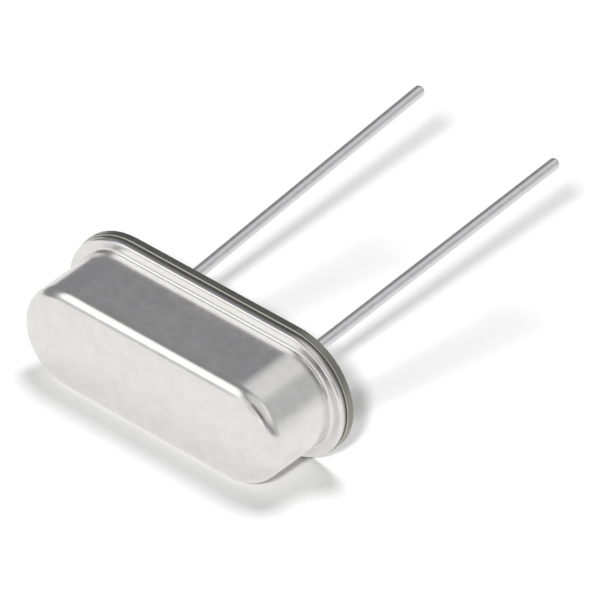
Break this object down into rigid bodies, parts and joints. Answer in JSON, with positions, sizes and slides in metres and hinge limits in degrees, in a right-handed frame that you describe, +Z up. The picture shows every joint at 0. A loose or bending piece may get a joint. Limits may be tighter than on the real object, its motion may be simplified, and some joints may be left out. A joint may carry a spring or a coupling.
{
  "type": "crystal oscillator",
  "caption": "Quartz crystal unit: a low oval drawn metal can welded to a flanged base plate, with two long round wire leads.",
  "frame": {"origin": "on the surface that the crystal lies on, below the middle of its whole box", "axes": "+Z up from that surface, +Y the way the leads point, +X along the can from the left lead to the right lead"},
  "size_m": [0.011, 0.0176, 0.0053],
  "materials": {
    "can_metal": "nickel-coloured, satin to bright",
    "base_metal": "satin plated steel",
    "lead_metal": "drawn wire, tinned",
    "seal_glass": "dark fused glass",
    "clip_metal": "bright spring strip",
    "quartz": "lapped clear quartz",
    "electrode_film": "bright evaporated film",
    "adhesive": "metal-filled adhesive"
  },
  "bodies": {
    "root": {"can": "can_metal", "base": "base_metal", "lead_left": "lead_metal", "lead_right": "lead_metal", "glass_bead_left": "seal_glass", "glass_bead_right": "seal_glass", "clip_left": "clip_metal", "clip_right": "clip_metal", "quartz_blank": "quartz", "electrode_top": "electrode_film", "electrode_bottom": "electrode_film", "adhesive_left": "adhesive", "adhesive_right": "adhesive"}
  },
  "joints": []
}
